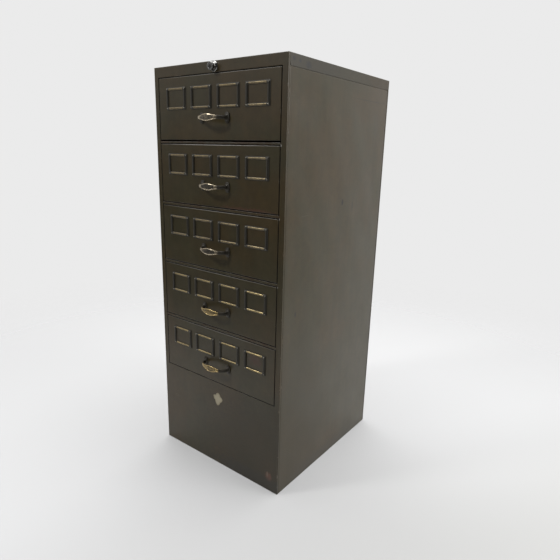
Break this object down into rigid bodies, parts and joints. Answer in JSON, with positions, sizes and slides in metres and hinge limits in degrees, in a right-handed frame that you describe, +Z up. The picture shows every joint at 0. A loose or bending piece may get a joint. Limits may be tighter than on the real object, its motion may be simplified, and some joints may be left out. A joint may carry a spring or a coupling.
{
  "type": "parts organizer",
  "caption": "Tall enamelled steel cabinet of wide card drawers with label holders, bow handles, a push lock and a blank plinth.",
  "frame": {"origin": "centre of the carcass's footprint, on the floor", "axes": "+X to the right for someone who faces the drawers, -Y out of the drawer fronts, +Z up"},
  "size_m": [0.531, 0.6239, 1.32],
  "materials": {
    "enamel": "worn semi-gloss olive-brown enamel with vertical brush streaks",
    "inner_enamel": "thin satin olive-brown enamel",
    "zinc_steel": "dull zinc-plated steel with a film of old grease",
    "handle_plating": "darkened brass plate, worn bright on the grip",
    "holder_plating": "darkened brass plate, worn bright on the top and bottom rails",
    "chrome": "polished chrome, slightly pitted"
  },
  "bodies": {
    "cabinet": {"front_frame": "enamel", "left_side_panel": "enamel", "right_side_panel": "enamel", "back_panel": "enamel", "top_cap": "enamel", "base_pan": "inner_enamel", "cross_rail_1": "enamel", "cross_rail_2": "enamel", "cross_rail_3": "enamel", "cross_rail_4": "enamel", "runner_frame_1": "zinc_steel", "runner_frame_2": "zinc_steel", "runner_frame_3": "zinc_steel", "runner_frame_4": "zinc_steel", "runner_frame_5": "zinc_steel", "lock_collar": "chrome"},
    "drawer_1": {"drawer_1_front": "enamel", "drawer_1_tray": "inner_enamel", "drawer_1_handle": "handle_plating", "drawer_1_label_holder_1": "holder_plating", "drawer_1_label_holder_2": "holder_plating", "drawer_1_label_holder_3": "holder_plating", "drawer_1_label_holder_4": "holder_plating"},
    "cradle_1": {"slide_cradle_1": "zinc_steel"},
    "drawer_2": {"drawer_2_front": "enamel", "drawer_2_tray": "inner_enamel", "drawer_2_handle": "handle_plating", "drawer_2_label_holder_1": "holder_plating", "drawer_2_label_holder_2": "holder_plating", "drawer_2_label_holder_3": "holder_plating", "drawer_2_label_holder_4": "holder_plating"},
    "cradle_2": {"slide_cradle_2": "zinc_steel"},
    "drawer_3": {"drawer_3_front": "enamel", "drawer_3_tray": "inner_enamel", "drawer_3_handle": "handle_plating", "drawer_3_label_holder_1": "holder_plating", "drawer_3_label_holder_2": "holder_plating", "drawer_3_label_holder_3": "holder_plating", "drawer_3_label_holder_4": "holder_plating"},
    "cradle_3": {"slide_cradle_3": "zinc_steel"},
    "drawer_4": {"drawer_4_front": "enamel", "drawer_4_tray": "inner_enamel", "drawer_4_handle": "handle_plating", "drawer_4_label_holder_1": "holder_plating", "drawer_4_label_holder_2": "holder_plating", "drawer_4_label_holder_3": "holder_plating", "drawer_4_label_holder_4": "holder_plating"},
    "cradle_4": {"slide_cradle_4": "zinc_steel"},
    "drawer_5": {"drawer_5_front": "enamel", "drawer_5_tray": "inner_enamel", "drawer_5_handle": "handle_plating", "drawer_5_label_holder_1": "holder_plating", "drawer_5_label_holder_2": "holder_plating", "drawer_5_label_holder_3": "holder_plating", "drawer_5_label_holder_4": "holder_plating"},
    "cradle_5": {"slide_cradle_5": "zinc_steel"},
    "lock_plunger": {"lock_plunger": "chrome"},
    "key_plug": {"key_plug": "chrome"},
    "rock_shaft": {"rock_shaft": "zinc_steel"},
    "lock_bar": {"lock_bar": "zinc_steel"}
  },
  "joints": [
    {"name": "drawer_1_slide", "type": "slide", "parent": "cabinet", "child": "drawer_1", "axis": [0, -1, 0], "range_m": [0, 0.5]},
    {"name": "cradle_1_slide", "type": "slide", "parent": "cabinet", "child": "cradle_1", "axis": [0, -1, 0], "range_m": [0, 0.25]},
    {"name": "drawer_2_slide", "type": "slide", "parent": "cabinet", "child": "drawer_2", "axis": [0, -1, 0], "range_m": [0, 0.5]},
    {"name": "cradle_2_slide", "type": "slide", "parent": "cabinet", "child": "cradle_2", "axis": [0, -1, 0], "range_m": [0, 0.25]},
    {"name": "drawer_3_slide", "type": "slide", "parent": "cabinet", "child": "drawer_3", "axis": [0, -1, 0], "range_m": [0, 0.5]},
    {"name": "cradle_3_slide", "type": "slide", "parent": "cabinet", "child": "cradle_3", "axis": [0, -1, 0], "range_m": [0, 0.25]},
    {"name": "drawer_4_slide", "type": "slide", "parent": "cabinet", "child": "drawer_4", "axis": [0, -1, 0], "range_m": [0, 0.5]},
    {"name": "cradle_4_slide", "type": "slide", "parent": "cabinet", "child": "cradle_4", "axis": [0, -1, 0], "range_m": [0, 0.25]},
    {"name": "drawer_5_slide", "type": "slide", "parent": "cabinet", "child": "drawer_5", "axis": [0, -1, 0], "range_m": [0, 0.5]},
    {"name": "cradle_5_slide", "type": "slide", "parent": "cabinet", "child": "cradle_5", "axis": [0, -1, 0], "range_m": [0, 0.25]},
    {"name": "lock_push", "type": "slide", "parent": "cabinet", "child": "lock_plunger", "axis": [0, 1, 0], "range_m": [0, 0.008], "stiffness_N_per_m": 300, "springref_m": -0.01},
    {"name": "key_turn", "type": "hinge", "parent": "lock_plunger", "child": "key_plug", "pos_m": [0, -0.2935, 1.30425], "axis": [0, -1, 0], "range_deg": [0, 90]},
    {"name": "shaft_turn", "type": "hinge", "parent": "cabinet", "child": "rock_shaft", "pos_m": [0, -0.249, 1.295], "axis": [-1, 0, 0], "range_deg": [0, 40]},
    {"name": "bar_lift", "type": "slide", "parent": "cabinet", "child": "lock_bar", "axis": [0, 0, 1], "range_m": [0, 0.0115]}
  ],
  "couplings": [
    {"joint": "cradle_1_slide", "follows": "drawer_1_slide", "ratio": 0.5},
    {"joint": "cradle_2_slide", "follows": "drawer_2_slide", "ratio": 0.5},
    {"joint": "cradle_3_slide", "follows": "drawer_3_slide", "ratio": 0.5},
    {"joint": "cradle_4_slide", "follows": "drawer_4_slide", "ratio": 0.5},
    {"joint": "cradle_5_slide", "follows": "drawer_5_slide", "ratio": 0.5},
    {"joint": "shaft_turn", "follows": "lock_push", "rad_per_m": 87},
    {"joint": "bar_lift", "follows": "lock_push", "ratio": 1.4375}
  ]
}
